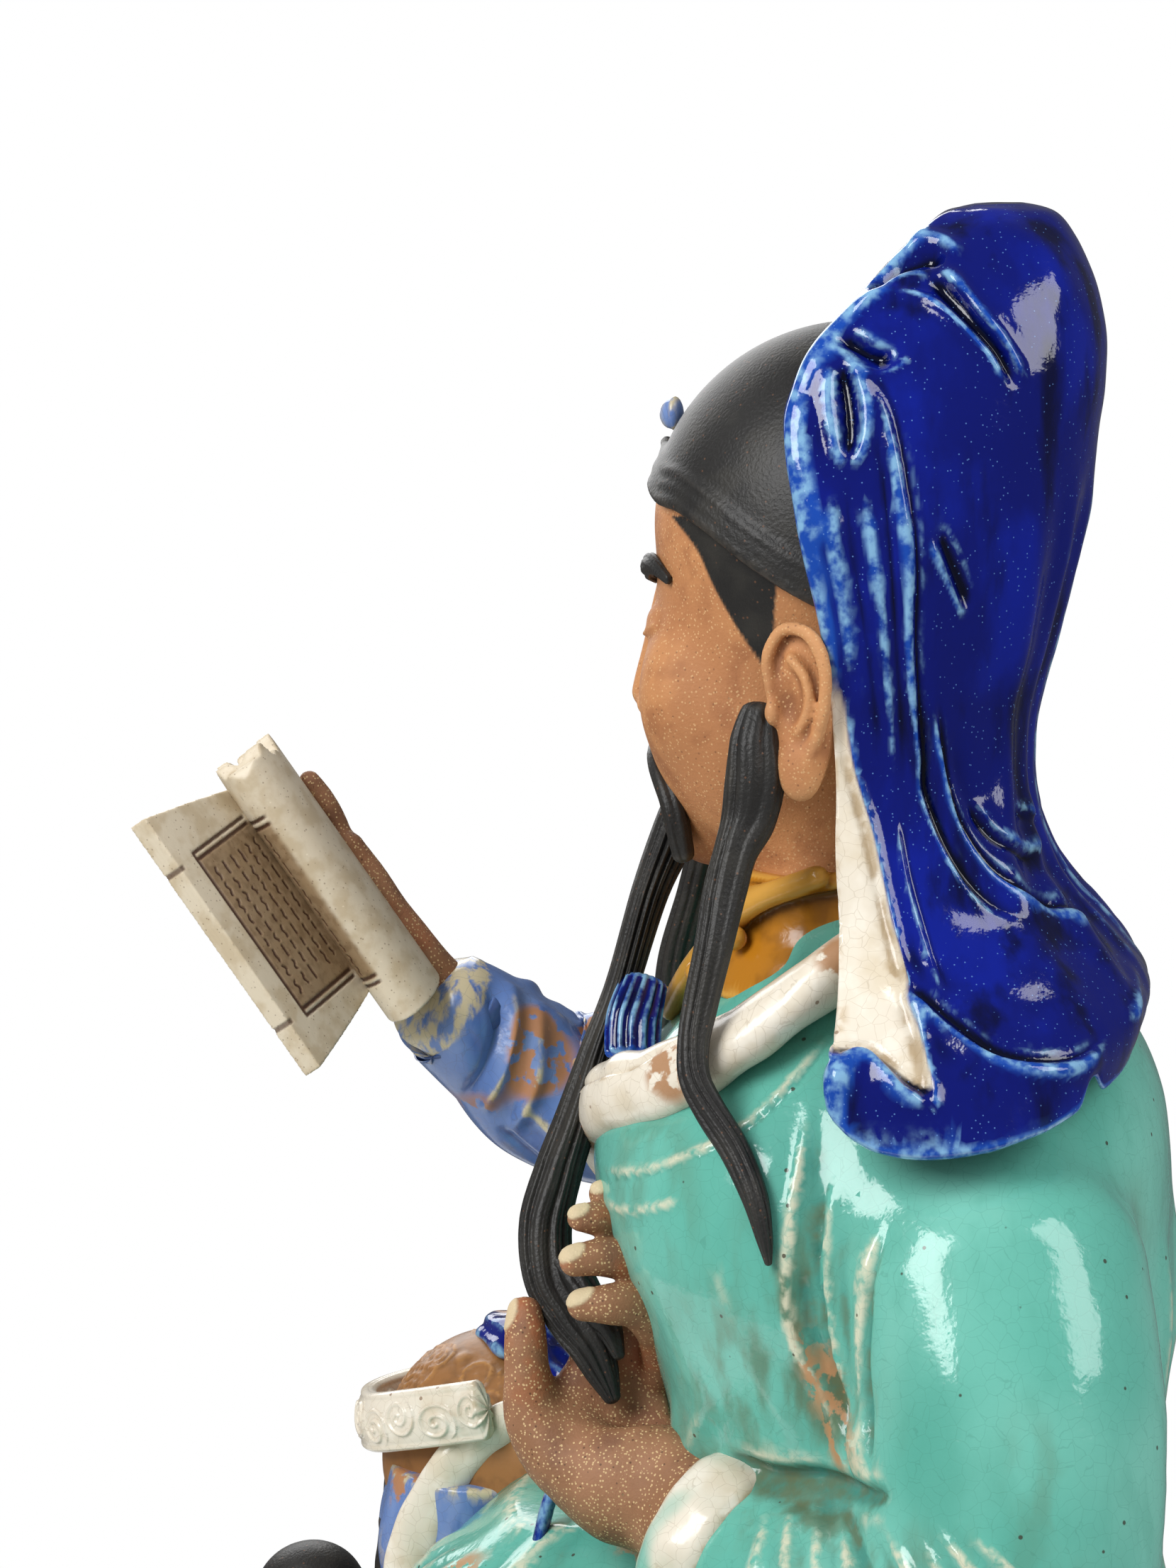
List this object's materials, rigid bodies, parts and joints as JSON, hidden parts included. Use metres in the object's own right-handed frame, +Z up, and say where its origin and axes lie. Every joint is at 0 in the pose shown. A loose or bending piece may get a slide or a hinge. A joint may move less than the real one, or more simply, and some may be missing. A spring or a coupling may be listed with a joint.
{
  "type": "ceramic figure",
  "caption": "Glazed stoneware figure of a seated bearded reader in hood and robe, a book in one hand, on a rocky plinth.",
  "frame": {"origin": "on the flat underside of the plinth, below the middle of the figure's body", "axes": "+Z up, the figure faces -Y, its own left side is +X"},
  "size_m": [0.2922, 0.3151, 0.588],
  "materials": {
    "glazed_stoneware": "turquoise and cobalt glazes over grogged clay, crazed and glossy, with bare clay skin and black slip hair"
  },
  "bodies": {
    "root": {"seated_figure": "glazed_stoneware"}
  },
  "joints": []
}
